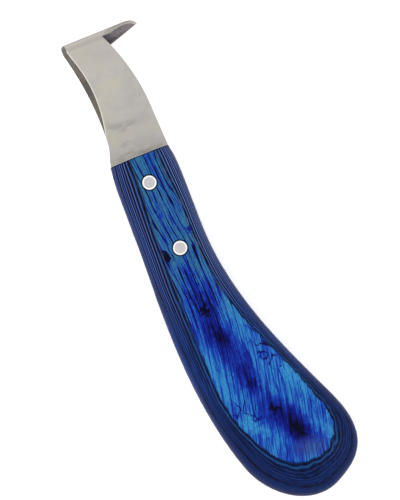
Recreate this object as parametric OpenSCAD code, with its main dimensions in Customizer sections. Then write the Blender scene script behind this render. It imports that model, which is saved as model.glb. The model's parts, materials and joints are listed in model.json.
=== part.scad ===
// Hoof knife: a fixed steel blade with a folded hook at its tip, held in a sawn slot of a
// laminated wooden handle by two steel pins.
// The knife lies flat on its side. +Y runs along the handle's front towards the hook, the hook's
// horn points to +X, and +Z runs through the thickness, up from the surface the knife lies on.

/* [Handle] */
// Length of the handle along its curved centre line
handle_l = 145.5; // [125:0.5:175]
// Width at the front end
front_w = 23.4; // [18:0.2:28]
// Width just behind the front end, where the corner relief has faded
grip_w = 25.8; // [21:0.2:31]
// Width of the palm swell
palm_w = 43.8; // [34:0.2:50]
// Thickness of the front half
front_t = 16.6; // [13:0.2:20]
// Thickness of the palm swell
palm_t = 21; // [17:0.2:25]
// Length of the front end that is straight
straight_l = 40; // [25:1:60]
// Radius of the centre line's sweep behind the straight end
sweep_r = 222; // [180:1:400]
// Length of the rounded butt
butt_l = 28; // [20:0.5:34]
// Squareness of the cross-section, where 2 is an ellipse
section_power = 2.2; // [2:0.1:3.4]
// Number of veneers on each side of the middle one
side_veneers = 10; // [8:1:12]

/* [Blade] */
// Thickness of the blade's steel
blade_t = 1.5; // [1:0.05:2.2]
// Reach of the blade, from the handle's front face to the front of the hook
blade_reach = 50; // [42:0.5:62]
// Distance from the centre line to the cutting edge at its narrowest
edge_offset = 9; // [7.5:0.1:10.5]
// Place of that narrowest point along the blade
edge_waist_y = 17; // [12:0.5:24]
// Radius of the hollow cutting edge
edge_r = 120; // [90:1:200]
// Distance from the centre line to the back edge where its curve begins
back_offset = 11.2; // [9:0.1:12]
// Place along the blade where the back edge begins to curve
back_curve_y = 15; // [10:0.5:22]
// Radius of the curved back edge
back_r = 72; // [60:1:110]
// Length of the blade that is flat in front of the handle
root_flat = 8; // [4:0.5:14]
// Downward bend of the blade over its length, in degrees
bend_angle = 7.5; // [3:0.5:14]
// Length of the tang inside the handle
tang_l = 50; // [46:0.5:60]

/* [Hook] */
// Outer diameter of the fold
hook_d = 8.8; // [8:0.1:12]
// Steel ground off the inside of the fold at its front
fold_relief = 0.4; // [0:0.05:0.5]
// Distance from the centre line to the tip of the horn
horn_reach = 18.1; // [14:0.1:22]
// Width of the lip, seen from above, where the horn leaves the blade
lip_w = 2.3; // [1.6:0.1:3]
// Setback of the horn's tip behind the front of the hook
horn_setback = 2.2; // [1:0.1:3]
// Setback of the folded end behind the front of the hook, below the cutting edge
tongue_setback = 11.6; // [9:0.1:14]

/* [Cutting bevel] */
// Greatest width of the ground bevel
bevel_w = 2.6; // [1.6:0.1:3.4]
// Place along the blade where the bevel begins
bevel_start = 11; // [8.5:0.5:20]
// Place along the steel, round the fold, where the bevel would end
bevel_end = 57; // [52:0.5:70]

/* [Pins] */
// Diameter of each pin
pin_d = 5.3; // [4:0.1:7]
// Distance of the front pin behind the handle's front face
front_pin_y = 10.8; // [7:0.1:16]
// Distance between the two pins
pin_pitch = 27; // [20:0.5:32]
// Height that each pin's end stands above the wood
pin_proud = 0.15; // [0:0.05:0.5]
// Chamfer round each pin's end
pin_chamfer = 0.35; // [0.1:0.05:0.6]

/* [Fits] */
// Gap on each face of the tang in its slot, where 0 is a bonded face
slot_gap = 0; // [0:0.05:0.2]
// Gap between the tang's end and the end of the slot
slot_end_gap = 0.5; // [0.2:0.1:2]
// Radial gap round a pin, where 0 is a driven pin
pin_gap = 0; // [0:0.02:0.1]
// Distance that the tang's edges stay inside the handle's flanks
tang_inset = 0.1; // [0.05:0.05:1]

/* [Hidden] */
blue_dye = [0.10, 0.24, 0.62];
steel = [0.74, 0.72, 0.69];
pin_steel = [0.85, 0.84, 0.83];

// The block's veneers: one in the middle and the same number above and below it
veneer_t = palm_t / (2 * side_veneers + 1);
face_names = [for (i = [1:side_veneers]) str("face_veneer_", i)];
back_names = [for (i = [1:side_veneers]) str("back_veneer_", i)];

// The fold's middle radius, and the middle of the steel where the fold begins
hook_r = hook_d / 2;
fold_mid_r = hook_r - blade_t / 2;
fold_start_y = blade_reach - hook_r + fold_mid_r * sin(bend_angle);
bend_r = (fold_start_y - root_flat) / sin(bend_angle);
bend_drop = bend_r * (1 - cos(bend_angle));
bend_l = bend_r * bend_angle * PI / 180;
fold_start_l = root_flat + bend_l;
fold_end_l = fold_start_l + PI * hook_r;
fold_below_mid = bend_drop + fold_mid_r * cos(bend_angle);

// Height of the middle of the tang, so that the lower of the palm and the hook touches z = 0
mid_z = max(palm_t / 2, fold_below_mid + hook_r);
fold_y = blade_reach - hook_r;
fold_z = mid_z - fold_below_mid;

// Overshoot of cuts past what they cut, their lap on each other, and a size beyond the whole knife
overshoot = 1;
cut_lap = 0.05;
eps = 0.01;
big = 100;

function smooth(t) = let (c = min(max(t, 0), 1)) c * c * (3 - 2 * c);
function power(v, p) = sign(v) * pow(abs(v), p);
function closing(t, p) = pow(max(0, 1 - pow(min(max(t, 0), 1), p)), 1 / p);
function bezier(a, b, c, d, t) =
    pow(1 - t, 3) * a + 3 * t * pow(1 - t, 2) * b + 3 * t * t * (1 - t) * c + pow(t, 3) * d;

// ---- Handle surface, as a function of the distance s along the centre line ----
sweep_side = -0.6;
relief_fade = 4;
swell_from = 30;
swell_to = 128;
thick_from = 45;
thick_to = 108;
butt_from = handle_l - butt_l;
edge_side_power = 2.0;
back_side_power = 2.8;
thickness_power = 2.2;
front_relief = (grip_w - front_w) / 2;

function spine_angle(s) = max(0, s - straight_l) / sweep_r * 180 / PI;
function spine(s) = s <= straight_l
    ? [sweep_side * smooth(s / straight_l), -s]
    : [sweep_side + sweep_r * (1 - cos(spine_angle(s))), -straight_l - sweep_r * sin(spine_angle(s))];
function butt_t(s) = (s - butt_from) / butt_l;
function body_half_w(s) = grip_w / 2 - front_relief * exp(-s / relief_fade)
    + (palm_w - grip_w) / 2 * smooth((s - swell_from) / (swell_to - swell_from));
function edge_half_w(s) = body_half_w(s) * closing(butt_t(s), edge_side_power);
function back_half_w(s) = body_half_w(s) * closing(butt_t(s), back_side_power);
function body_half_t(s) =
    front_t / 2 + (palm_t - front_t) / 2 * smooth((s - thick_from) / (thick_to - thick_from));
function half_t(s) = body_half_t(s) * closing(butt_t(s), thickness_power);

// Point on the plan at distance side from the centre line, towards the back (+) or the edge (-)
function plan_point(s, side) =
    spine(s) + side * [cos(spine_angle(s)), sin(spine_angle(s))];

// Stations along the centre line: close together at the relieved front end and round the butt
front_stations = [0, 1.5, 3.5, 6.5];
body_steps = 30;
butt_steps = 14;
butt_last = 0.9995;
ring_points = 36;
stations = concat(
    front_stations,
    [for (i = [2:body_steps]) butt_from * i / body_steps],
    [for (i = [1:butt_steps]) butt_from + butt_l * butt_last * sin(90 * i / butt_steps)]
);

function ring_point(s, a) =
    let (side = power(cos(a), 2 / section_power) * (cos(a) > 0 ? back_half_w(s) : edge_half_w(s)),
         p = plan_point(s, side))
    [p.x, p.y, mid_z + half_t(s) * power(sin(a), 2 / section_power)];

// The knife is drawn with its zero in the middle of the handle's front end. Each piece is then
// set down so that the origin is on the surface, under the middle of the knife's bounding box.
flank_points =
    [for (s = stations) each [plan_point(s, -edge_half_w(s)), plan_point(s, back_half_w(s))]];
low_x = min([for (p = flank_points) p.x]);
high_x = max([for (p = flank_points) p.x]);
low_y = min([for (p = flank_points) p.y]);

module set_down() {
    translate([-(low_x + high_x) / 2, -(low_y + blade_reach) / 2, 0])
        children();
}

// The whole shaped handle, before it is told apart into veneers
module handle_body() {
    n = len(stations);
    points = [for (s = stations) for (k = [0:ring_points - 1]) ring_point(s, 360 * k / ring_points)];
    // Each end is closed by strips between a point and the one that mirrors it
    half = ring_points / 2;
    front_cap = [for (k = [0:half - 1])
        [k, k + 1, (ring_points - k - 1) % ring_points, (ring_points - k) % ring_points]];
    last = (n - 1) * ring_points;
    butt_cap = [for (f = front_cap) [last + f[3], last + f[2], last + f[1], last + f[0]]];
    walls = [for (i = [0:n - 2]) for (k = [0:ring_points - 1])
        let (a = i * ring_points + k, b = i * ring_points + (k + 1) % ring_points)
        each [[a, a + ring_points, b], [b, a + ring_points, b + ring_points]]];
    polyhedron(points, concat(front_cap, butt_cap, walls), convexity = 4);
}

// ---- Pins ----
pin_s = [front_pin_y, front_pin_y + pin_pitch];
pin_side = [-0.1, 1.9];
function pin_at(i) = plan_point(pin_s[i], pin_side[i]);

module pin(i) {
    length = 2 * (half_t(pin_s[i]) + pin_proud);
    r = pin_d / 2;
    p = pin_at(i);
    color(pin_steel)
        set_down()
            translate([p.x, p.y, mid_z])
                rotate_extrude($fn = 48)
                    polygon([
                        [0, -length / 2], [r - pin_chamfer, -length / 2], [r, pin_chamfer - length / 2],
                        [r, length / 2 - pin_chamfer], [r - pin_chamfer, length / 2], [0, length / 2]
                    ]);
}

module front_pin() {
    pin(0);
}

module rear_pin() {
    pin(1);
}

module pin_holes(gap) {
    for (i = [0, 1])
        translate([pin_at(i).x, pin_at(i).y, mid_z - big / 2])
            cylinder(d = pin_d + 2 * gap, h = big, $fn = 48);
}

// ---- Veneers ----
// The saw slot that the tang fills, open at the front and at both flanks
module tang_slot() {
    slot_l = tang_l + slot_end_gap;
    translate([-big / 2, -slot_l, mid_z - blade_t / 2 - slot_gap])
        cube([big, slot_l + big, blade_t + 2 * slot_gap]);
}

// One veneer of the block: layer 0 is the middle one, and the outermost take all that is left
module veneer(layer) {
    outermost = abs(layer) == side_veneers;
    low = mid_z + (layer - 0.5) * veneer_t - (outermost && layer < 0 ? big : 0);
    high = mid_z + (layer + 0.5) * veneer_t + (outermost && layer > 0 ? big : 0);
    color(blue_dye)
        set_down()
            difference() {
                intersection() {
                    handle_body();
                    translate([-big, -2 * big, low])
                        cube([2 * big, 3 * big, high - low]);
                }
                tang_slot();
                pin_holes(pin_gap);
            }
}

// ---- Blade ----
function edge_x(y) = -edge_offset - pow(y - edge_waist_y, 2) / (2 * edge_r)
    - shoulder * (1 - smooth(y / shoulder_l));
function back_x(y) = y < back_curve_y
    ? root_half_w + (back_offset - root_half_w) * y / back_curve_y
    : back_offset - pow(y - back_curve_y, 2) / (2 * back_r);
root_half_w = front_w / 2 - tang_inset;
shoulder_l = 9;
shoulder = root_half_w - edge_offset - pow(edge_waist_y, 2) / (2 * edge_r);
outline_steps = 24;
tang_steps = 12;
tang_stations = [for (i = [tang_steps:-1:0]) (tang_l + overshoot) * i / tang_steps];
corner_r = 1.2;
corner_steps = 5;
fold_edge_x = edge_x(fold_start_y);
lip_y = blade_reach - lip_w;
horn_root = back_x(lip_y);

// Steel outside the cutting edge and the tang's edge on the same side, rounded at the hook
module edge_waste() {
    polygon(concat(
        [[-big, -big]],
        [for (s = tang_stations) plan_point(s, tang_inset - edge_half_w(s))],
        [for (i = [1:outline_steps]) let (y = fold_start_y * i / outline_steps) [edge_x(y), y]],
        [for (i = [0:corner_steps]) let (a = 90 * i / corner_steps)
            [fold_edge_x + corner_r * (1 - cos(a)), blade_reach - corner_r * (1 - sin(a))]],
        [[fold_edge_x + corner_r, big], [-big, big]]
    ));
}

// Steel outside the back edge and the tang's edge on that side
module back_waste() {
    polygon(concat(
        [[big, -big]],
        [for (s = tang_stations) plan_point(s, back_half_w(s) - tang_inset)],
        [for (i = [1:outline_steps]) let (y = lip_y * i / outline_steps) [back_x(y), y]],
        [[big, lip_y]]
    ));
}

// Steel behind the slanting free end of the tongue
module tongue_waste() {
    left = [fold_edge_x, blade_reach - tongue_setback];
    tip = [horn_reach, blade_reach - horn_setback];
    run = tip - left;
    polygon([left - run, tip + run, [tip.x + run.x, -big], [left.x - run.x, -big]]);
}

// Outer face of the steel at distance l from the handle: its place and the slope of its normal
function outer_face(l) =
    l < root_flat ? [l, mid_z + blade_t / 2, 0]
    : l < fold_start_l
        ? let (a = (l - root_flat) / bend_r * 180 / PI, r = bend_r + blade_t / 2)
          [root_flat + r * sin(a), mid_z - bend_r + r * cos(a), a]
    : l < fold_end_l
        ? let (a = bend_angle + (l - fold_start_l) / hook_r * 180 / PI)
          [fold_y + hook_r * sin(a), fold_z + hook_r * cos(a), a]
    : let (a = bend_angle + 180, back = l - fold_end_l)
      [fold_y + hook_r * sin(a) + back * cos(a), fold_z + hook_r * cos(a) - back * sin(a), a];

// Thickness of the steel there: the inside of the fold is ground thinner towards its front
function steel_t(l) =
    blade_t - fold_relief * sin(180 * min(max((l - fold_start_l) / (fold_end_l - fold_start_l), 0), 1));
function inner_face(l) =
    let (face = outer_face(l)) [face[0], face[1]] - steel_t(l) * [sin(face[2]), cos(face[2])];

// Side profile of the whole strip of steel, in the Y-Z plane: flat tang, bend, fold and tongue
module steel_profile() {
    bend_steps = 16;
    fold_steps = 32;
    tongue_l = tongue_setback - hook_r + 2 * overshoot;
    places = concat(
        [-tang_l],
        [for (i = [0:bend_steps]) root_flat + bend_l * i / bend_steps],
        [for (i = [1:fold_steps]) fold_start_l + (fold_end_l - fold_start_l) * i / fold_steps],
        [fold_end_l + tongue_l]
    );
    last = len(places) - 1;
    polygon(concat(
        [for (l = places) let (face = outer_face(l)) [face[0], face[1]]],
        [for (i = [last:-1:0]) inner_face(places[i])]
    ));
}

// Steel ground away above the horn, so that it sweeps down from the blade's back to its tip
module horn_grind() {
    steps = 12;
    start_depth = 0.5;
    tip_depth = 0.65;
    root_run = 1.6;
    root_rise = 2;
    tip_run = 4.6;
    tip_rise = 2;
    outside_x = horn_reach + overshoot;
    front_y = blade_reach + overshoot;
    start = [horn_root, fold_z + hook_r - start_depth];
    end = [horn_reach, fold_z - hook_r + tip_depth];
    start_pull = [horn_root + root_run, fold_z + root_rise];
    end_pull = [horn_reach - tip_run, fold_z + tip_rise];
    translate([0, front_y, 0])
        rotate([90, 0, 0])
            linear_extrude(front_y - lip_y + cut_lap)
                polygon(concat(
                    [for (i = [0:steps]) bezier(start, start_pull, end_pull, end, i / steps)],
                    [[outside_x, end.y], [outside_x, mid_z + big], [horn_root, mid_z + big]]
                ));
}

function bevel_width(l) =
    let (q = (l - bevel_start) / (bevel_end - bevel_start)) max(0, 4 * bevel_w * q * (1 - q));

// Wedge that is ground off the outer face along the cutting edge
module bevel_wedge() {
    steps = 22;
    lift = 0.4;
    outside = 4;
    edge_left = 0.04;
    fold_wrap = 109;
    slope = blade_t * (1 - edge_left) / bevel_w;
    last_l = fold_start_l + hook_r * fold_wrap * PI / 180;
    sections = [for (i = [0:steps])
        let (l = bevel_start + eps + (last_l - bevel_start) * i / steps,
             face = outer_face(l),
             up = [0, sin(face[2]), cos(face[2])],
             w = bevel_width(l),
             x = max(edge_x(min(face[0], blade_reach)), fold_edge_x),
             at = [x, face[0], face[1]])
        [
            at + [w + lift / slope, 0, 0] + lift * up,
            at - (slope * w) * up,
            at - [outside, 0, 0] - (slope * w + outside * slope) * up,
            at - [outside, 0, 0] + lift * up
        ]];
    points = [for (s = sections) each s];
    n = len(sections);
    sides = [for (i = [0:n - 2]) for (k = [0:3])
        let (a = 4 * i + k, b = 4 * i + (k + 1) % 4)
        each [[a, a + 4, b], [b, a + 4, b + 4]]];
    last = 4 * (n - 1);
    ends = [[0, 1, 2, 3], [last + 3, last + 2, last + 1, last]];
    polyhedron(points, concat(ends, sides), convexity = 4);
}

module blade() {
    blank_w = 2 * horn_reach;
    color(steel)
        set_down()
            difference() {
                translate([horn_reach - blank_w, 0, 0])
                    rotate([90, 0, 90])
                        linear_extrude(blank_w)
                            steel_profile();
                translate([0, 0, -big])
                    linear_extrude(2 * big)
                        edge_waste();
                translate([0, 0, fold_z])
                    linear_extrude(big)
                        back_waste();
                translate([0, 0, fold_z - big])
                    linear_extrude(big)
                        tongue_waste();
                horn_grind();
                bevel_wedge();
                pin_holes(0);
            }
}

blade();
front_pin();
rear_pin();
veneer(0);  // core_veneer
for (i = [1:side_veneers]) {
    veneer(i);
    veneer(-i);
}
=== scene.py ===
import json
import math

import bmesh
import bpy
from mathutils import Matrix, Vector

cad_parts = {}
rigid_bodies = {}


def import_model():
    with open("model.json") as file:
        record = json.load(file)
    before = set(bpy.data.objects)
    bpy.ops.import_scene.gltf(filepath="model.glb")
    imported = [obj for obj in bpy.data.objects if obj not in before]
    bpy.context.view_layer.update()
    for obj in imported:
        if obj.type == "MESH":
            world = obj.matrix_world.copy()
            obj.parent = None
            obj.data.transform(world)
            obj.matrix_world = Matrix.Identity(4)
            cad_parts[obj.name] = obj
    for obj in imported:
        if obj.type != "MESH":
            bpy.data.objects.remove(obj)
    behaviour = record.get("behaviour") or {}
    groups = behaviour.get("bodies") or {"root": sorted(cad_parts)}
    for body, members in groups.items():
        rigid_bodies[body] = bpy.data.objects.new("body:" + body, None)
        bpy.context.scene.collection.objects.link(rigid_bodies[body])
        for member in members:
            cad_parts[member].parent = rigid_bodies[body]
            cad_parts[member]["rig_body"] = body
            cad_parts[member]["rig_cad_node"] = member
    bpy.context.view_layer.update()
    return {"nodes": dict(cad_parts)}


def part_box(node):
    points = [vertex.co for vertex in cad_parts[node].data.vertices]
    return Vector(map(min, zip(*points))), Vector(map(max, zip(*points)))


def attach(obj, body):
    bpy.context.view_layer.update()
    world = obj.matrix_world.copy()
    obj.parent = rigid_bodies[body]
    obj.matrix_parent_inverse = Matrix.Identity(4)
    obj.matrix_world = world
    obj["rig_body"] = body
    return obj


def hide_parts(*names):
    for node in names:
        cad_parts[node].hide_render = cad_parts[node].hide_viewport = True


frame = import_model()
bpy.context.scene.view_settings.view_transform = "Standard"

# ---- Camera ----------------------------------------------------------------------------------
# The knife is seen square on, from above the face that it doesn't lie on. Its front leans 22
# degrees to the left of upright. A long lens keeps the view nearly free of perspective.
lean = math.radians(22)
sight_up = Vector((math.sin(lean), math.cos(lean), 0))
sight_right = Vector((math.cos(lean), -math.sin(lean), 0))
picture_height = 0.1887
lens, sensor = 200, 36
blade_low, blade_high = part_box("blade")
aim = Vector((-0.0034, 0.0054, blade_high.z))
nearest_seen = 0.01

camera_data = bpy.data.cameras.new("camera")
camera_data.lens = lens
camera_data.sensor_width = sensor
camera_data.clip_start = nearest_seen
camera = bpy.data.objects.new("camera", camera_data)
bpy.context.collection.objects.link(camera)
camera.rotation_mode = "QUATERNION"
camera.rotation_quaternion = Matrix((sight_right, sight_up, (0, 0, 1))).transposed().to_quaternion()
camera.location = aim + Vector((0, 0, picture_height * lens / sensor))
bpy.context.scene.camera = camera

# ---- Floor and light -------------------------------------------------------------------------
# A plain white table in a white room, which is greyer overhead, where the camera stands, and two
# broad soft lamps.


def deselect_all():
    if bpy.context.object and bpy.context.object.mode != "OBJECT":
        bpy.ops.object.mode_set(mode="OBJECT")
    bpy.ops.object.select_all(action="DESELECT")


floor_w = 6
floor_drop = 0.0002
deselect_all()
bpy.ops.mesh.primitive_plane_add(size=floor_w, location=(0, 0, -floor_drop))
floor = bpy.context.object
floor.name = "floor"
floor_white = bpy.data.materials.new("floor white")
floor_white.use_nodes = True
floor_skin = floor_white.node_tree.nodes["Principled BSDF"]
for socket, value in (("Base Color", (0.93, 0.93, 0.93, 1)), ("Roughness", 0.9),
                      ("Emission Color", (1, 1, 1, 1)), ("Emission Strength", 0.42)):
    floor_skin.inputs[socket].default_value = value
floor.data.materials.append(floor_white)

room = bpy.data.worlds.new("room")
room.use_nodes = True
room_light = room.node_tree.nodes["Background"]
way = room.node_tree.nodes.new("ShaderNodeTexCoord")
way_up = room.node_tree.nodes.new("ShaderNodeSeparateXYZ")
overhead = room.node_tree.nodes.new("ShaderNodeMapRange")
overhead.interpolation_type = "SMOOTHSTEP"
for socket, value in (("From Min", 0.7), ("From Max", 0.96), ("To Min", 1.15), ("To Max", 0.5)):
    overhead.inputs[socket].default_value = value
room.node_tree.links.new(way.outputs["Generated"], way_up.inputs[0])
room.node_tree.links.new(way_up.outputs[2], overhead.inputs["Value"])
room.node_tree.links.new(overhead.outputs[0], room_light.inputs["Strength"])
room_light.inputs["Color"].default_value = (1, 1, 1, 1)
bpy.context.scene.world = room


def soft_lamp(name, place, size, power):
    lamp_data = bpy.data.lights.new(name, "AREA")
    lamp_data.size = size
    lamp_data.energy = power
    lamp = bpy.data.objects.new(name, lamp_data)
    bpy.context.collection.objects.link(lamp)
    lamp.location = place
    lamp.rotation_mode = "QUATERNION"
    lamp.rotation_quaternion = Vector(place).to_track_quat("Z", "Y")


soft_lamp("key lamp", (-0.7, 0.5, 1.0), 0.8, 3)
soft_lamp("fill lamp", (0.8, -0.6, 0.9), 0.8, 2)

# ---- Handle block ----------------------------------------------------------------------------
# The handle is one block of dyed veneers, bonded with resin under pressure, bandsawn and shaped
# on a belt. The whole block is made here, rounded as sanding leaves it, with the saw slot for
# the tang and the two drilled holes for the pins.
veneers = sorted((name for name in frame["nodes"] if "veneer" in name),
                 key=lambda name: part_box(name)[0].z)
whole_veneer = "face_veneer_2"
front_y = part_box(whole_veneer)[1].y
veneer_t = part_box(whole_veneer)[1].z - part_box(whole_veneer)[0].z
middle_z = (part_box("core_veneer")[0].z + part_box("core_veneer")[1].z) / 2
block_grain = 0.0005
sanding_passes = 30
front_band = 1e-5
front_spare = 0.003
tang_l = front_y - blade_low.y
slotted_veneers = 3
slot_end_gap = 0.0005
slot_t = 0.0015
past_all = 0.3
weld_gap = 1e-6
hair = 1e-7


def copy_of(names, new_name):
    """One merged mesh from copies of the frame's nodes."""
    deselect_all()
    for name in names:
        frame["nodes"][name].select_set(True)
    bpy.context.view_layer.objects.active = frame["nodes"][names[0]]
    bpy.ops.object.duplicate()
    if len(names) > 1:
        bpy.ops.object.join()
    piece = bpy.context.object
    piece.name = new_name
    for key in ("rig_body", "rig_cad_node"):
        if key in piece:
            del piece[key]
    piece.parent = None
    bpy.ops.object.mode_set(mode="EDIT")
    bpy.ops.mesh.select_all(action="SELECT")
    bpy.ops.mesh.remove_doubles(threshold=weld_gap)
    bpy.ops.object.mode_set(mode="OBJECT")
    return piece


def pick(piece, test):
    """Selects the points of a piece whose place passes a test, and leaves it in edit mode."""
    bpy.ops.object.mode_set(mode="EDIT")
    bpy.ops.mesh.select_all(action="DESELECT")
    mesh = bmesh.from_edit_mesh(piece.data)
    for point in mesh.verts:
        point.select = test(point.co)
    mesh.select_flush_mode()
    bmesh.update_edit_mesh(piece.data)


def apply_modifier(piece, kind, **settings):
    bpy.context.view_layer.objects.active = piece
    modifier = piece.modifiers.new(kind, kind)
    for key, value in settings.items():
        setattr(modifier, key, value)
    bpy.ops.object.modifier_apply(modifier=modifier.name)


def cut_away(piece, cutter):
    apply_modifier(piece, "BOOLEAN", operation="DIFFERENCE", solver="EXACT", object=cutter)
    bpy.data.objects.remove(cutter, do_unlink=True)


def cut_flat(place, facing):
    """Cuts the mesh in edit mode at a plane and closes the cut. What the plane faces goes."""
    bpy.ops.mesh.select_all(action="SELECT")
    bpy.ops.mesh.bisect(plane_co=place, plane_no=facing, use_fill=True, clear_outer=True,
                        threshold=hair)


# The slot's layers are filled with whole ones, so that the block is solid before it is sanded
block = copy_of(veneers + ["front_pin", "rear_pin"], "handle_block")
for layers_down in range(1, slotted_veneers + 1):
    copy_of([whole_veneer], "filler")
    bpy.ops.object.mode_set(mode="EDIT")
    bpy.ops.mesh.select_all(action="SELECT")
    bpy.ops.transform.translate(value=(0, 0, -layers_down * veneer_t))
    bpy.ops.object.mode_set(mode="OBJECT")
    block.select_set(True)
    bpy.context.view_layer.objects.active = block
    bpy.ops.object.join()
pick(block, lambda place: place.y > front_y - front_band)
bpy.ops.transform.translate(value=(0, front_spare, 0))
bpy.ops.object.mode_set(mode="OBJECT")
apply_modifier(block, "REMESH", mode="VOXEL", voxel_size=block_grain)
apply_modifier(block, "SMOOTH", factor=0.5, iterations=sanding_passes)
bpy.ops.object.mode_set(mode="EDIT")
cut_flat((0, front_y, 0), (0, 1, 0))
bpy.ops.object.mode_set(mode="OBJECT")

# Sanding takes a little off all round, so the block is brought back to its full size
places = [point.co for point in block.data.vertices]
rough_low = Vector([min(place[i] for place in places) for i in range(3)])
rough_high = Vector([max(place[i] for place in places) for i in range(3)])
full_low = Vector(map(min, *(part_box(name)[0] for name in veneers)))
full_high = Vector(map(max, *(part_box(name)[1] for name in veneers)))
block.scale = [(full_high[i] - full_low[i]) / (rough_high[i] - rough_low[i]) for i in range(3)]
block.location = [full_low[i] - block.scale[i] * rough_low[i] for i in range(3)]
deselect_all()
block.select_set(True)
bpy.ops.object.transform_apply(location=True, rotation=True, scale=True)

# Saw slot for the tang, open at the front and at both flanks
deselect_all()
slot_back_y = front_y - tang_l - slot_end_gap
bpy.ops.mesh.primitive_cube_add(size=1, location=(0, (slot_back_y + past_all) / 2, middle_z),
                                scale=(past_all, past_all - slot_back_y, slot_t))
cut_away(block, bpy.context.object)

# Holes for the pins, a hair wider than they are, so that a thin dark line shows round each
pin_names = ["front_pin", "rear_pin"]
hole_gap = 0.0001
hole_steps = 72
for name in pin_names:
    pin_low, pin_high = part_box(name)
    pin_r = (pin_high.x - pin_low.x) / 2
    deselect_all()
    hole_middle = ((pin_low.x + pin_high.x) / 2, (pin_low.y + pin_high.y) / 2, middle_z)
    bpy.ops.mesh.primitive_cylinder_add(vertices=hole_steps, radius=pin_r + hole_gap,
                                        depth=past_all, location=hole_middle)
    cut_away(block, bpy.context.object)

# ---- Place on the handle ---------------------------------------------------------------------
# The veneers' figure follows the handle, which is straight in front and sweeps to one side
# behind. This turns a point into its place along and across the handle, in millimetres.


def tint(red, green, blue):
    """A colour as a painter's swatch gives it, from 0 to 255, turned into light."""
    return tuple(c / 255 / 12.92 if c <= 10 else ((c / 255 + 0.055) / 1.055) ** 2.4
                 for c in (red, green, blue)) + (1,)


def new_group(name, inputs, outputs):
    group = bpy.data.node_groups.new(name, "ShaderNodeTree")
    for direction, sockets in (("INPUT", inputs), ("OUTPUT", outputs)):
        for socket_name, kind, value in sockets:
            socket = group.interface.new_socket(socket_name, in_out=direction,
                                                socket_type="NodeSocket" + kind)
            if value is not None:
                socket.default_value = value
    start = group.nodes.new("NodeGroupInput")
    end = group.nodes.new("NodeGroupOutput")
    return group, start.outputs, end.inputs


def feed(tree, node, sockets):
    """Gives each socket a fixed value, or a link from another node's output."""
    for key, value in sockets.items():
        if isinstance(value, bpy.types.NodeSocket):
            tree.links.new(value, node.inputs[key])
        else:
            node.inputs[key].default_value = value


def put(tree, kind, sockets=None, **settings):
    node = tree.nodes.new("ShaderNode" + kind)
    for key, value in settings.items():
        setattr(node, key, value)
    feed(tree, node, sockets or {})
    return node


def sums(tree, operation, *values, clamp=False):
    node = put(tree, "Math", dict(enumerate(values)), operation=operation, use_clamp=clamp)
    return node.outputs[0]


def place_group(tree, group, sockets):
    node = tree.nodes.new("ShaderNodeGroup")
    node.node_tree = group
    feed(tree, node, sockets)
    return node.outputs


def fade(tree, value, low, high, low_out=0.0, high_out=1.0):
    """Runs smoothly from low_out to high_out as the value goes from low to high."""
    node = put(tree, "MapRange", {"Value": value, "From Min": low, "From Max": high,
                                  "To Min": low_out, "To Max": high_out},
               interpolation_type="SMOOTHSTEP")
    return node.outputs["Result"]


def blend_colours(tree, amount, first, second, blend_type="MIX"):
    factor, colour_a, colour_b, colour_out = 0, 6, 7, 2
    node = put(tree, "Mix", {factor: amount, colour_a: first, colour_b: second},
               data_type="RGBA", blend_type=blend_type)
    return node.outputs[colour_out]


straight_mm = 40
sweep_mm = 222
centre_shift = 0.0002
front_pin_x = (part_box("front_pin")[0].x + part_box("front_pin")[1].x) / 2
front_middle = Vector((front_pin_x + centre_shift, front_y, middle_z))

handle_place, given, result = new_group(
    "place on the handle", [("Point", "Vector", None)],
    [(name, "Float", None) for name in ("Along", "Across", "Height", "Fibre")])
tree = handle_place
from_front = put(tree, "VectorMath", {0: given["Point"], 1: tuple(front_middle)},
                 operation="SUBTRACT").outputs[0]
in_mm = put(tree, "VectorMath", {0: from_front, "Scale": 1000}, operation="SCALE").outputs[0]
parts = put(tree, "SeparateXYZ", {0: in_mm}).outputs
along = sums(tree, "MULTIPLY", parts[1], -1)
behind = sums(tree, "MAXIMUM", sums(tree, "SUBTRACT", along, straight_mm), 0)
leg = sums(tree, "SUBTRACT", sweep_mm ** 2, sums(tree, "MULTIPLY", behind, behind))
sweep = sums(tree, "SUBTRACT", sweep_mm, sums(tree, "SQRT", leg))
across = sums(tree, "SUBTRACT", parts[0], sweep)
# The fibres leave the centre line a little to one side in front, and to the other in the palm
turn_from, turn_run = 48, 44
front_lean, palm_lean = -0.075, 0.31
past_turn = sums(tree, "MAXIMUM", sums(tree, "SUBTRACT", along, turn_from), 0)
in_turn = sums(tree, "MINIMUM", past_turn, turn_run)
in_turn_squared = sums(tree, "MULTIPLY", in_turn, in_turn)
turned = sums(tree, "ADD", sums(tree, "DIVIDE", in_turn_squared, 2 * turn_run),
              sums(tree, "SUBTRACT", past_turn, in_turn))
fibre = sums(tree, "ADD", sums(tree, "MULTIPLY_ADD", along, front_lean, parts[0]),
             sums(tree, "MULTIPLY", turned, palm_lean))
for name, value in (("Along", along), ("Across", across), ("Height", parts[2]), ("Fibre", fibre)):
    tree.links.new(value, result[name])

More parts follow.
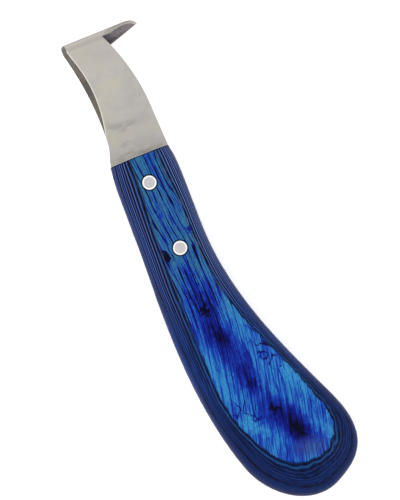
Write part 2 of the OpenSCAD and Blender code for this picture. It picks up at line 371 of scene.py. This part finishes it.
# A soft oval at a place along and across the handle, for spots of dye, cracks, a painted sheen and
# painted shade round the pins
soft_oval, given, result = new_group(
    "soft oval", [("Along", "Float", 0), ("Across", "Float", 0), ("At along", "Float", 0),
                 ("At across", "Float", 0), ("Half length", "Float", 5), ("Half width", "Float", 2),
                 ("Lean", "Float", 0), ("Softness", "Float", 0.6)],
    [("Mask", "Float", None)])
tree = soft_oval
run = sums(tree, "SUBTRACT", given["Along"], given["At along"])
side = sums(tree, "SUBTRACT", sums(tree, "SUBTRACT", given["Across"], given["At across"]),
            sums(tree, "MULTIPLY", run, given["Lean"]))
run_share = sums(tree, "DIVIDE", run, given["Half length"])
side_share = sums(tree, "DIVIDE", side, given["Half width"])
reach = sums(tree, "SQRT", sums(tree, "ADD", sums(tree, "MULTIPLY", run_share, run_share),
                                sums(tree, "MULTIPLY", side_share, side_share)))
inner = sums(tree, "SUBTRACT", 1, given["Softness"])
tree.links.new(fade(tree, reach, 1, inner), result["Mask"])

# ---- Dyed wood -------------------------------------------------------------------------------
# Pale veneers are soaked right through with blue dye, which takes unevenly: teal and azure in
# the open figure, indigo where the wood is dense, nearly black in knots and in the resin lines.
# Sanding through the curved block lays the veneers bare as contour lines along its flanks.
teal = tint(46, 106, 142)
azure = tint(46, 128, 188)
royal = tint(20, 58, 168)
indigo = tint(14, 22, 120)
near_black = tint(4, 5, 28)
dense_navy = tint(9, 14, 78)
deep_navy = tint(2, 13, 56)
ply_navy = tint(4, 8, 34)
ply_blue = tint(22, 58, 134)
ply_light = tint(36, 94, 154)
resin_and_highlight_blue = tint(112, 134, 190)
sheen_grey = tint(52, 58, 116)
fleck_dark = (0.72, 0.72, 0.76, 1)
fleck_light = (1.34, 1.24, 1.12, 1)

dyed_wood = bpy.data.materials.new("dyed wood")
dyed_wood.use_nodes = True
tree = dyed_wood.node_tree
skin = tree.nodes["Principled BSDF"]
point = put(tree, "TexCoord").outputs["Object"]
here = place_group(tree, handle_place, {"Point": point})
along, across, height, fibre = here["Along"], here["Across"], here["Height"], here["Fibre"]


def grain_noise(scale_across, scale_along, scale_height, detail=3, roughness=0.5, shift=0,
                cross=None):
    """Noise drawn out along the fibres, from 0 to 1, with its sizes in millimetres."""
    where = put(tree, "CombineXYZ", {
        "X": sums(tree, "MULTIPLY_ADD", cross or fibre, 1 / scale_across, shift),
        "Y": sums(tree, "MULTIPLY", along, 1 / scale_along),
        "Z": sums(tree, "MULTIPLY", height, 1 / scale_height)}).outputs[0]
    noise = put(tree, "TexNoise", {"Vector": where, "Scale": 1, "Detail": detail,
                                   "Roughness": roughness})
    return noise.outputs["Fac"]


def spread(value, low, high):
    """Takes the middle of a noise's range to the values from low to high."""
    return fade(tree, value, 0.3, 0.7, low, high)


# Height in veneers from the middle one. The veneers lie a little tilted and dip at the butt, and
# pressing leaves them wavy.
slow_wave = spread(grain_noise(22, 38, 30, detail=1, cross=across), -0.28, 0.28)
quick_wave = sums(tree, "MULTIPLY", spread(grain_noise(2.2, 5, 6, detail=2, shift=7), -0.16, 0.16),
                  fade(tree, across, -4, 12, 0.45, 1.0))
tilt = sums(tree, "MULTIPLY", across, 0.066)
dip = fade(tree, along, 92, 138, 0, -1.7)
layer = sums(tree, "ADD", sums(tree, "ADD", sums(tree, "ADD", height, dip), tilt), slow_wave)
depth = sums(tree, "ABSOLUTE", layer)
rough_depth = sums(tree, "ADD", depth, quick_wave)
number = sums(tree, "FLOOR", sums(tree, "ADD", depth, 0.5))
in_veneer = sums(tree, "ABSOLUTE", sums(tree, "SUBTRACT", depth, number))
ply_tone = put(tree, "TexWhiteNoise", {"W": sums(tree, "MULTIPLY_ADD", number, 1.37, 0.21)},
               noise_dimensions="1D").outputs["Value"]
front_half = fade(tree, along, 78, 38)

# The face veneer is laid bare where the block is thickest, and ends in a ragged dark line
top_from = 7.5
on_face = sums(tree, "GREATER_THAN", rough_depth, top_from)
top_resin = sums(tree, "MULTIPLY", fade(tree, rough_depth, top_from - 0.22, top_from - 0.06),
                 fade(tree, rough_depth, top_from + 0.16, top_from + 0.02))
top_resin = sums(tree, "MULTIPLY", top_resin, fade(tree, along, 50, 85, 0.6, 1.0))

# Colour of the face veneer: how deeply the dye has taken, from 0, light, to 1 and over, black
streaks = spread(grain_noise(0.75, 16, 8, detail=4, roughness=0.62), -0.22, 0.22)
fine_streaks = spread(grain_noise(0.3, 6, 5, detail=2, shift=3), -0.12, 0.12)
clouds = spread(grain_noise(5, 14, 12, detail=2, shift=11), -0.13, 0.13)
deep = sums(tree, "ADD", sums(tree, "ADD", streaks, fine_streaks), clouds)
deep = sums(tree, "MULTIPLY", deep, fade(tree, along, 50, 85, 1.1, 0.8))
deep = sums(tree, "ADD", deep, fade(tree, along, 40, 62, 0.08, 0.32))

# Named marks in the figure: place along and across, half length and width, lean, softness, depth
marks = [
    (19, -0.9, 9, 1.5, 0.08, 0.8, 0.3),        # streak behind the front pin
    (50, 0.4, 16, 2.6, 0.0, 0.8, 0.3),         # start of the heart behind the rear pin
    (66, 0.0, 26, 7.0, -0.03, 0.85, 0.42),     # heart of the board
    (88, 0.2, 22, 6.5, 0.0, 0.8, 0.32),
    (112, 2.5, 15, 8.5, 0.1, 0.85, 0.52),      # dense wood in the palm
    (63, -0.1, 2.8, 2.4, 0.0, 0.85, 1.2),      # small knots
    (74, 0.2, 5.5, 2.8, 0.0, 0.8, 0.18),
    (89, 0.2, 5.0, 3.0, 0.0, 0.8, 0.16),
    (95, 0.2, 4.0, 2.6, 0.0, 0.8, 0.32),
    (106.5, 1.2, 2.4, 2.0, 0.0, 0.9, 0.9),
    (118.5, 3.4, 7.5, 6.6, 0.0, 0.95, 0.25),   # stain near the butt, and its middle
    (119, 3.4, 2.0, 1.7, 0.0, 0.9, 0.22),
    (39, -4.2, 2.8, 1.8, 0.1, 0.7, 1.6),
    (32.5, 7.6, 2.4, 2.2, 0.0, 0.8, 0.9),
    (98, 14.0, 18, 4.0, 0.06, 0.9, -0.24),     # light wood along the back and in the palm
    (111, -9.0, 7, 4.5, 0.3, 0.9, -0.36),
    (124, 12.5, 7, 3.6, 0.0, 0.9, -0.34),
    (66, 9.0, 14, 3.0, 0.12, 0.9, -0.24),
    (84, -9.5, 26, 3.4, 0.05, 0.9, -0.14),
]
facing_up = fade(tree, height, -1, 1)
ragged_along = sums(tree, "ADD", along,
                    spread(grain_noise(1.3, 2.2, 9, detail=3, shift=51), -1.2, 1.2))
ragged_across = sums(tree, "ADD", across,
                     spread(grain_noise(1.6, 1.8, 9, detail=3, shift=61), -0.8, 0.8))
for at_along, at_across, half_length, half_width, lean_out, softness, strength in marks:
    mark = place_group(tree, soft_oval, {
        "Along": ragged_along, "Across": ragged_across,
        "At along": at_along, "At across": at_across, "Half length": half_length,
        "Half width": half_width, "Lean": lean_out, "Softness": softness})["Mask"]
    deep = sums(tree, "MULTIPLY_ADD", sums(tree, "MULTIPLY", mark, facing_up), strength, deep)


def pore_lines(pitch, wave, narrow, wide, shift):
    """Dark lines along the fibres, each thin and wavering, and lost here and there."""
    wander = spread(grain_noise(9, 34, 14, detail=3, shift=shift), -wave, wave)
    line_place = sums(tree, "MULTIPLY_ADD", fibre, 1 / pitch, wander)
    from_line = sums(tree, "ABSOLUTE", sums(tree, "SUBTRACT", sums(tree, "FRACT", line_place), 0.5))
    line_width = spread(grain_noise(5, 9, 9, detail=2, shift=shift + 8),
                        narrow / pitch, wide / pitch)
    return fade(tree, from_line, line_width, 0.0)


bold_lines = pore_lines(2.3, 0.5, 0.12, 0.52, 23)
faint_lines = pore_lines(0.95, 0.6, 0.02, 0.36, 71)
deep = sums(tree, "MULTIPLY_ADD", bold_lines, fade(tree, along, 40, 80, 1.3, 0.3), deep)
deep = sums(tree, "MULTIPLY_ADD", faint_lines, fade(tree, along, 40, 80, 0.62, 0.2), deep)

# Fine crooked cracks in the light wood, along the back and across the palm
crack_field = grain_noise(4.2, 5.5, 9, detail=1, roughness=0.5, shift=91)
from_crack = sums(tree, "ABSOLUTE", sums(tree, "SUBTRACT", crack_field, 0.5))
crack = fade(tree, from_crack, 0.03, 0.008)
crack_depth = 0.75
for at_along, at_across, half_length, half_width in ((84, 11.5, 13, 4), (104, -8, 6, 6)):
    cracked = place_group(tree, soft_oval, {
        "Along": along, "Across": across, "At along": at_along, "At across": at_across,
        "Half length": half_length, "Half width": half_width,
        "Lean": 0.1, "Softness": 0.5})["Mask"]
    deep = sums(tree, "MULTIPLY_ADD", sums(tree, "MULTIPLY", crack, cracked), crack_depth, deep)

light_dye = blend_colours(tree, fade(tree, along, 42, 80), teal, azure)
face_colour = blend_colours(tree, fade(tree, deep, 0.12, 0.5), light_dye, royal)
face_colour = blend_colours(tree, fade(tree, deep, 0.45, 0.85), face_colour, indigo)
face_colour = blend_colours(tree, fade(tree, deep, 0.8, 1.25), face_colour, near_black)
speckle = spread(grain_noise(0.4, 1.0, 3, detail=3, roughness=0.7, shift=131), 0.0, 1.0)
lighter = blend_colours(tree, 1.0, face_colour, fleck_light, "MULTIPLY")
darker = blend_colours(tree, 1.0, face_colour, fleck_dark, "MULTIPLY")
face_colour = blend_colours(tree, speckle, darker, lighter)
# Painted sheen: a grey haze laid over the face near the butt
painted_sheen = place_group(tree, soft_oval, {
    "Along": along, "Across": across, "At along": 125, "At across": 1.5, "Half length": 6,
    "Half width": 9, "Lean": 0.0, "Softness": 0.9})["Mask"]
face_colour = blend_colours(tree, sums(tree, "MULTIPLY", painted_sheen, 0.6), face_colour, sheen_grey)

# Colour of the veneers' edges on the flanks: long even lines, with light lines at the resin that
# also carry a painted highlight, strongest in front and on one flank
long_lines = spread(grain_noise(1.6, 60, 0.3, detail=2, cross=across), -0.4, 0.4)
edge_tone = sums(tree, "ADD", ply_tone, long_lines, clamp=True)
edge_colour = blend_colours(tree, edge_tone, ply_navy, ply_blue)
# One dense dark veneer edge lies beside the face on the cutting side
dark_band = sums(tree, "MULTIPLY", fade(tree, depth, 5.9, 6.5), fade(tree, across, -1, -3))
band_share = sums(tree, "MULTIPLY", sums(tree, "MULTIPLY", dark_band, front_half), 0.85)
edge_colour = blend_colours(tree, band_share, edge_colour, dense_navy)
resin_highlight_line = sums(tree, "MULTIPLY", fade(tree, in_veneer, 0.38, 0.47),
                  fade(tree, depth, 1.5, 3.5))
resin_highlight_share = sums(tree, "MULTIPLY", resin_highlight_line,
                   sums(tree, "MULTIPLY_ADD", front_half, 0.6, 0.1))
thin_line = sums(tree, "MULTIPLY", fade(tree, in_veneer, 0.07, 0.02, 0, 0.5),
                 sums(tree, "MULTIPLY", front_half, fade(tree, depth, 3.5, 5.5)))
resin_highlight_share = sums(tree, "ADD", resin_highlight_share, thin_line, clamp=True)
resin_highlight_share = sums(tree, "MULTIPLY", resin_highlight_share, fade(tree, across, -5, 5, 0.72, 1.15),
                   clamp=True)
edge_colour = blend_colours(tree, resin_highlight_share, edge_colour, resin_and_highlight_blue)
dark_line = sums(tree, "MULTIPLY", fade(tree, in_veneer, 0.09, 0.17),
                 fade(tree, in_veneer, 0.41, 0.34))
edge_colour = blend_colours(tree, fade(tree, along, 78, 116, 0, 0.52), edge_colour, deep_navy)
dark_share = sums(tree, "MULTIPLY", dark_line, fade(tree, along, 45, 85, 1.0, 0.66))
edge_colour = blend_colours(tree, dark_share, edge_colour, near_black)
pale_ring = sums(tree, "MULTIPLY", fade(tree, rough_depth, top_from - 0.62, top_from - 0.45),
                 fade(tree, rough_depth, top_from - 0.25, top_from - 0.38))
edge_colour = blend_colours(tree, sums(tree, "MULTIPLY", pale_ring, 0.42), edge_colour,
                            ply_light)
wood_colour = blend_colours(tree, on_face, edge_colour, face_colour)
resin_share = sums(tree, "MULTIPLY", top_resin, fade(tree, along, 60, 90, 0.9, 0.42))
wood_colour = blend_colours(tree, resin_share, wood_colour, near_black)

# Painted shade: a dark ring round each pin
shade_ring_mm = 0.7
for name in pin_names:
    pin_middle = (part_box(name)[0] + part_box(name)[1]) / 2
    pin_shade_r = (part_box(name)[1].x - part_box(name)[0].x) / 2 * 1000 + shade_ring_mm
    pin_shade = place_group(tree, soft_oval, {
        "Along": along, "Across": across, "At along": (front_y - pin_middle.y) * 1000,
        "At across": (pin_middle.x - front_middle.x) * 1000, "Half length": pin_shade_r,
        "Half width": pin_shade_r, "Lean": 0.0, "Softness": 0.1})["Mask"]
    wood_colour = blend_colours(tree, sums(tree, "MULTIPLY", pin_shade, 0.95), wood_colour, near_black)

# Painted shade: a thin dark line on the front end, beside the blade
wood_colour = blend_colours(tree, fade(tree, along, 0.5, 0.2, 0, 0.85), wood_colour, near_black)
tree.links.new(wood_colour, skin.inputs["Base Color"])

lacquer_rough = spread(grain_noise(3, 9, 4, detail=3, shift=41), 0.3, 0.42)
tree.links.new(lacquer_rough, skin.inputs["Roughness"])
skin.inputs["Specular IOR Level"].default_value = 0.06
relief = sums(tree, "ADD", sums(tree, "MULTIPLY", streaks, -0.5),
              sums(tree, "MULTIPLY", bold_lines, -0.6))
bump = put(tree, "Bump", {"Height": relief, "Strength": 0.12, "Distance": 0.0001})
tree.links.new(bump.outputs[0], skin.inputs["Normal"])

# ---- Veneers ---------------------------------------------------------------------------------
# Twenty-one veneers, each a millimetre thick, bonded face to face. The block is told apart into
# them, so that each is a closed piece of its own.
for name in veneers:
    low_z, high_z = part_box(name)[0].z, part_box(name)[1].z
    deselect_all()
    block.select_set(True)
    bpy.context.view_layer.objects.active = block
    bpy.ops.object.duplicate()
    veneer = bpy.context.object
    veneer.name = name.replace("_veneer", "_ply")
    bpy.ops.object.mode_set(mode="EDIT")
    if name != veneers[0]:
        cut_flat((0, 0, low_z), (0, 0, -1))
    if name != veneers[-1]:
        cut_flat((0, 0, high_z), (0, 0, 1))
    bpy.ops.object.mode_set(mode="OBJECT")
    bpy.ops.object.shade_smooth_by_angle(angle=math.radians(50))
    veneer.data.materials.clear()
    veneer.data.materials.append(dyed_wood)
    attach(veneer, "root")
    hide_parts(name)
bpy.data.objects.remove(block, do_unlink=True)

# ---- Steel finish ----------------------------------------------------------------------------
# The steel is ground and brushed by hand, so it shows fine parallel marks, faint clouds where
# heat and polish have tinted it, and no mirror anywhere.
steel_marks, given, result = new_group(
    "grinding marks", [("Point", "Vector", None), ("Turn", "Vector", None),
                       ("Fineness", "Float", 9000.0), ("Stretch", "Float", 0.03)],
    [("Marks", "Float", None), ("Warm clouds", "Float", None), ("Cool clouds", "Float", None)])
tree = steel_marks
warm_per_metre, cool_per_metre = 85, 120
cloud_from, cloud_to = 0.46, 0.66
turned = put(tree, "VectorRotate", {"Vector": given["Point"], "Rotation": given["Turn"]},
             rotation_type="EULER_XYZ").outputs[0]
stretch = put(tree, "CombineXYZ", {"X": given["Stretch"], "Y": 1, "Z": 1}).outputs[0]
drawn = put(tree, "VectorMath", {0: turned, 1: stretch}, operation="MULTIPLY").outputs[0]
marks_noise = put(tree, "TexNoise", {"Vector": drawn, "Scale": given["Fineness"],
                                     "Detail": 2, "Roughness": 0.6})
warm_noise = put(tree, "TexNoise", {"Vector": given["Point"], "Scale": warm_per_metre,
                                    "Detail": 2, "Roughness": 0.5})
apart = put(tree, "VectorMath", {0: given["Point"], 1: (0.4, 0.1, 0.2)},
            operation="ADD").outputs[0]
cool_noise = put(tree, "TexNoise", {"Vector": apart, "Scale": cool_per_metre,
                                    "Detail": 3, "Roughness": 0.55})
tree.links.new(marks_noise.outputs["Fac"], result["Marks"])
for noise, clouds_out in ((warm_noise, "Warm clouds"), (cool_noise, "Cool clouds")):
    tree.links.new(fade(tree, noise.outputs["Fac"], cloud_from, cloud_to), result[clouds_out])


def steel_material(name, light, dark, warm, cool, fineness, stretch, turn, rough_low, rough_high,
                   depth_m):
    """Steel with grinding marks, a little warmer and cooler in clouds."""
    material = bpy.data.materials.new(name)
    material.use_nodes = True
    tree = material.node_tree
    skin = tree.nodes["Principled BSDF"]
    point = put(tree, "TexCoord").outputs["Object"]
    ground = place_group(tree, steel_marks, {"Point": point, "Turn": turn,
                                             "Fineness": fineness, "Stretch": stretch})
    colour = blend_colours(tree, fade(tree, ground["Marks"], 0.3, 0.7), dark, light)
    colour = blend_colours(tree, sums(tree, "MULTIPLY", ground["Warm clouds"], 0.7), colour, warm)
    colour = blend_colours(tree, sums(tree, "MULTIPLY", ground["Cool clouds"], 0.6), colour, cool)
    tree.links.new(colour, skin.inputs["Base Color"])
    tree.links.new(fade(tree, ground["Marks"], 0.3, 0.7, rough_high, rough_low),
                   skin.inputs["Roughness"])
    skin.inputs["Metallic"].default_value = 1
    bump = put(tree, "Bump", {"Height": ground["Marks"], "Strength": 0.3, "Distance": depth_m})
    tree.links.new(bump.outputs[0], skin.inputs["Normal"])
    return material


# ---- Blade -----------------------------------------------------------------------------------
# One strip of stainless steel, blanked, bent a little over its length and folded back on
# itself at the tip, then hardened. The cutting edge is ground to a bevel from above. The bevel
# and the inside of the hook are coloured dark grey as painted shade.
brushed_steel = steel_material(
    "brushed steel", light=tint(218, 214, 207), dark=tint(212, 207, 200),
    warm=tint(220, 213, 196), cool=tint(201, 198, 197), fineness=2600.0, stretch=0.06,
    turn=(0, 0, 0), rough_low=0.36, rough_high=0.41, depth_m=0.000002)
# Painted shade: the bevel's colours are dark greys, standing in for the dim side of the room that
# it reflects
bevel_painted_shade = steel_material(
    "ground bevel", light=tint(128, 121, 113), dark=tint(84, 78, 72),
    warm=tint(104, 96, 86), cool=tint(70, 66, 64), fineness=5200.0, stretch=0.04,
    turn=(0, 0, math.radians(-20)), rough_low=0.3, rough_high=0.45, depth_m=0.00002)
# Painted shade: the inside of the hook is coloured darker grey than the flat
hook_inside_painted_shade = steel_material(
    "hook inside painted shade", light=tint(150, 145, 150), dark=tint(112, 107, 112),
    warm=tint(128, 120, 120), cool=tint(92, 88, 94), fineness=3200.0, stretch=0.1,
    turn=(0, 0, math.radians(40)), rough_low=0.36, rough_high=0.5, depth_m=0.00001)
fold_shade_grey = tint(198, 191, 182)
smudge_brown = tint(164, 154, 144)
junction_highlight = tint(250, 249, 247)
bend_shade_grey = tint(166, 161, 155)
end_shade_grey = tint(138, 134, 130)
fold_front_y = blade_high.y

# Painted shade: the fold and the steel before it are coloured greyer than the flat, darkest towards
# the end of the fold
tree = brushed_steel.node_tree
steel_skin = tree.nodes["Principled BSDF"]
steel_colour = steel_skin.inputs["Base Color"].links[0].from_socket
point_parts = put(tree, "SeparateXYZ", {0: put(tree, "TexCoord").outputs["Object"]}).outputs
near_fold_shade = fade(tree, point_parts[1], fold_front_y - 0.02, fold_front_y - 0.0045, 0, 0.6)
on_bend_shade = fade(tree, point_parts[1], fold_front_y - 0.0042, fold_front_y - 0.0026, 0, 0.9)
at_end_shade = fade(tree, point_parts[1], fold_front_y - 0.001, fold_front_y - 0.0004, 0, 0.8)
smudge_place = put(tree, "Mapping", {"Vector": put(tree, "TexCoord").outputs["Object"],
                                     "Scale": (90, 260, 90)}).outputs[0]
smudge_noise = put(tree, "TexNoise", {"Vector": smudge_place, "Scale": 1, "Detail": 3,
                                      "Roughness": 0.6})
near_handle = fade(tree, point_parts[1], front_y + 0.024, front_y + 0.012)
smudges = sums(tree, "MULTIPLY", fade(tree, smudge_noise.outputs["Fac"], 0.5, 0.66), near_handle)
smudged_and_highlit_colour = blend_colours(tree, sums(tree, "MULTIPLY", smudges, 0.4), steel_colour,
                               smudge_brown)
# Painted highlight: a thin bright line on the steel just in front of the handle
highlight_at_handle = fade(tree, point_parts[1], front_y + 0.0007, front_y + 0.0003, 0, 0.55)
smudged_and_highlit_colour = blend_colours(tree, highlight_at_handle, smudged_and_highlit_colour, junction_highlight)
fold_shaded_colour = blend_colours(tree, near_fold_shade, smudged_and_highlit_colour, fold_shade_grey)
fold_shaded_colour = blend_colours(tree, on_bend_shade, fold_shaded_colour, bend_shade_grey)
fold_shaded_colour = blend_colours(tree, at_end_shade, fold_shaded_colour, end_shade_grey)
tree.links.new(fold_shaded_colour, steel_skin.inputs["Base Color"])

blade = copy_of(["blade"], "hook_blade")
bpy.ops.object.mode_set(mode="EDIT")
bpy.ops.mesh.select_all(action="SELECT")
bpy.ops.mesh.dissolve_limited(angle_limit=math.radians(0.5))
bpy.ops.object.mode_set(mode="OBJECT")
bpy.ops.object.shade_smooth_by_angle(angle=math.radians(25))
blade.data.materials.clear()
for blade_material in (brushed_steel, bevel_painted_shade, hook_inside_painted_shade):
    blade.data.materials.append(blade_material)

# The bevel leans up and to the cutting side. The inside of the hook looks towards its middle.
bevel_out, bevel_up = -0.3, 0.2
bevel_gap = 0.005
fold_r = 0.0044
inside_reach = 0.008
inside_drop = 0.001
side_on = 0.05
hook_middle_z = (blade_low.z + middle_z) / 2
hook_middle_y = fold_front_y - fold_r
for face in blade.data.polygons:
    place, out = face.center, face.normal
    inward = Vector((0, hook_middle_y - place.y, hook_middle_z - place.z))
    in_hook = place.y > hook_middle_y - inside_reach and place.z < middle_z - inside_drop
    if out.x < bevel_out and out.z > bevel_up and place.y > front_y + bevel_gap:
        face.material_index = 1
    elif in_hook and out.dot(inward) > 0 and abs(out.x) < side_on:
        face.material_index = 2

# A painted highlight: a thin near-white strip along the line between the flat and the bevel
edge_highlight = bpy.data.materials.new("edge highlight")
edge_highlight.use_nodes = True
tree = edge_highlight.node_tree
edge_highlight_skin = tree.nodes["Principled BSDF"]
edge_point = put(tree, "TexCoord").outputs["Object"]
edge_noise = put(tree, "TexNoise", {"Vector": edge_point, "Scale": 900, "Detail": 2})
edge_shine = blend_colours(tree, edge_noise.outputs["Fac"], tint(208, 205, 201),
                           tint(246, 245, 243))
tree.links.new(edge_shine, edge_highlight_skin.inputs["Base Color"])
edge_highlight_skin.inputs["Roughness"].default_value = 0.4
blade.data.materials.append(edge_highlight)
edge_w = 0.00014
nearly_up = 0.9
deselect_all()
blade.select_set(True)
bpy.context.view_layer.objects.active = blade
bpy.ops.object.mode_set(mode="EDIT")
bpy.ops.mesh.select_all(action="DESELECT")
mesh = bmesh.from_edit_mesh(blade.data)
for edge in mesh.edges:
    kinds = sorted(face.material_index for face in edge.link_faces)
    edge.select = kinds == [0, 1] and max(face.normal.z for face in edge.link_faces) > nearly_up
bmesh.update_edit_mesh(blade.data)
bpy.ops.mesh.bevel(offset=edge_w, segments=1, material=3)
bpy.ops.object.mode_set(mode="OBJECT")
bpy.ops.object.shade_smooth_by_angle(angle=math.radians(25))
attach(blade, "root")
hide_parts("blade")

# ---- Pins ------------------------------------------------------------------------------------
# Two steel pins go through wood and tang. Each end is ground nearly flush, with its rim rounded,
# and a ring round the rim is coloured near white as a painted highlight.
pin_metal = steel_material(
    "pin steel", light=tint(244, 240, 241), dark=tint(232, 227, 228),
    warm=tint(238, 230, 228), cool=tint(226, 224, 228), fineness=5000.0, stretch=0.15,
    turn=(0, 0, math.radians(30)), rough_low=0.34, rough_high=0.46, depth_m=0.000006)
pin_rim_highlight = steel_material(
    "pin rim highlight", light=tint(250, 250, 250), dark=tint(240, 240, 240),
    warm=tint(248, 246, 244), cool=tint(244, 246, 250), fineness=5000.0, stretch=0.3,
    turn=(0, 0, 0), rough_low=0.3, rough_high=0.4, depth_m=0.000003)
pin_rim_highlight.node_tree.nodes["Principled BSDF"].inputs["Metallic"].default_value = 0
rim_round = 0.00012
rim_w = 0.00042
for name in pin_names:
    pin_low, pin_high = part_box(name)
    pin_middle = (pin_low + pin_high) / 2
    pin_r = (pin_high.x - pin_low.x) / 2
    deselect_all()
    bpy.ops.mesh.primitive_cylinder_add(vertices=hole_steps, radius=pin_r,
                                        depth=pin_high.z - pin_low.z, location=pin_middle)
    pin = bpy.context.object
    pin.name = name + "_ground"
    bpy.ops.object.transform_apply(location=True, rotation=True, scale=True)
    bpy.ops.object.mode_set(mode="EDIT")
    bpy.ops.mesh.select_all(action="DESELECT")
    mesh = bmesh.from_edit_mesh(pin.data)
    for edge in mesh.edges:
        edge.select = abs(edge.verts[0].co.z - edge.verts[1].co.z) < hair
    bmesh.update_edit_mesh(pin.data)
    bpy.ops.mesh.bevel(offset=rim_round, segments=3, profile=0.6)
    bpy.ops.mesh.select_all(action="DESELECT")
    mesh = bmesh.from_edit_mesh(pin.data)
    for face in mesh.faces:
        face.select = len(face.verts) > 4
    bmesh.update_edit_mesh(pin.data)
    bpy.ops.mesh.inset(thickness=rim_w)
    bpy.ops.object.mode_set(mode="OBJECT")
    bpy.ops.object.shade_smooth_by_angle(angle=math.radians(35))
    pin.data.materials.append(pin_metal)
    pin.data.materials.append(pin_rim_highlight)
    # The rounded rim and the flat ring inside it take the painted highlight
    for face in pin.data.polygons:
        face.material_index = int(abs(face.normal.z) > 0.1 and len(face.vertices) == 4)
    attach(pin, "root")
    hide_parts(name)
